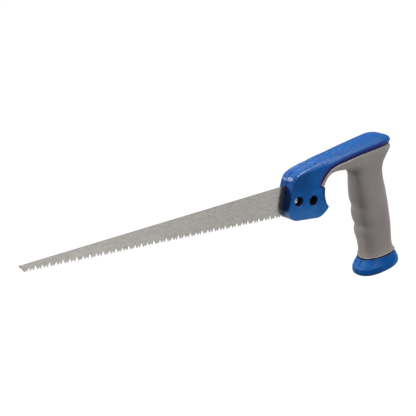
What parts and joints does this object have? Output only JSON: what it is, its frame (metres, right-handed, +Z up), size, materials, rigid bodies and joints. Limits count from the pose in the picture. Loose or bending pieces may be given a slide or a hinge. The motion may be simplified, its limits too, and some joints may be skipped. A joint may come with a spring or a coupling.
{
  "type": "keyhole saw",
  "caption": "Keyhole saw with a tapered toothed blade clamped by screws between the halves of a pistol handle that has a soft grip.",
  "frame": {"origin": "middle of the grip, at the height of the tooth line and on the saw's middle plane", "axes": "+X from the blade's toe towards the handle, +Y from the screw-head side towards the nut side, +Z up, from the teeth towards the blade's back"},
  "size_m": [0.4643, 0.0394, 0.1595],
  "materials": {
    "blade_steel": "satin ground steel, warm grey",
    "blue_plastic": "moulded semi-gloss blue",
    "grey_rubber": "matt soft-touch grey",
    "zinc_steel": "bright zinc plated steel"
  },
  "bodies": {
    "handle": {"left_handle_shell": "blue_plastic", "right_handle_shell": "blue_plastic", "grip_sleeve": "grey_rubber", "front_clamp_nut": "zinc_steel", "rear_clamp_nut": "zinc_steel"},
    "blade": {"blade": "blade_steel"},
    "front_washer": {"front_washer": "zinc_steel"},
    "front_screw": {"front_clamp_screw": "zinc_steel"},
    "rear_washer": {"rear_washer": "zinc_steel"},
    "rear_screw": {"rear_clamp_screw": "zinc_steel"}
  },
  "joints": [
    {"name": "blade_slide", "type": "slide", "parent": "handle", "child": "blade", "axis": [-1, 0, 0], "range_m": [0, 0.036]},
    {"name": "front_screw_lift", "type": "slide", "parent": "handle", "child": "front_washer", "axis": [0, -1, 0], "range_m": [0, 0.0028]},
    {"name": "front_screw_turn", "type": "hinge", "parent": "front_washer", "child": "front_screw", "pos_m": [-0.1078, 0, 0.0166], "axis": [0, -1, 0], "range_deg": [0, 1440]},
    {"name": "rear_screw_lift", "type": "slide", "parent": "handle", "child": "rear_washer", "axis": [0, -1, 0], "range_m": [0, 0.0028]},
    {"name": "rear_screw_turn", "type": "hinge", "parent": "rear_washer", "child": "rear_screw", "pos_m": [-0.0887, 0, 0.0147], "axis": [0, -1, 0], "range_deg": [0, 1440]}
  ],
  "couplings": [
    {"joint": "front_screw_turn", "follows": "front_screw_lift", "rad_per_m": 8976},
    {"joint": "rear_screw_turn", "follows": "rear_screw_lift", "rad_per_m": 8976}
  ]
}
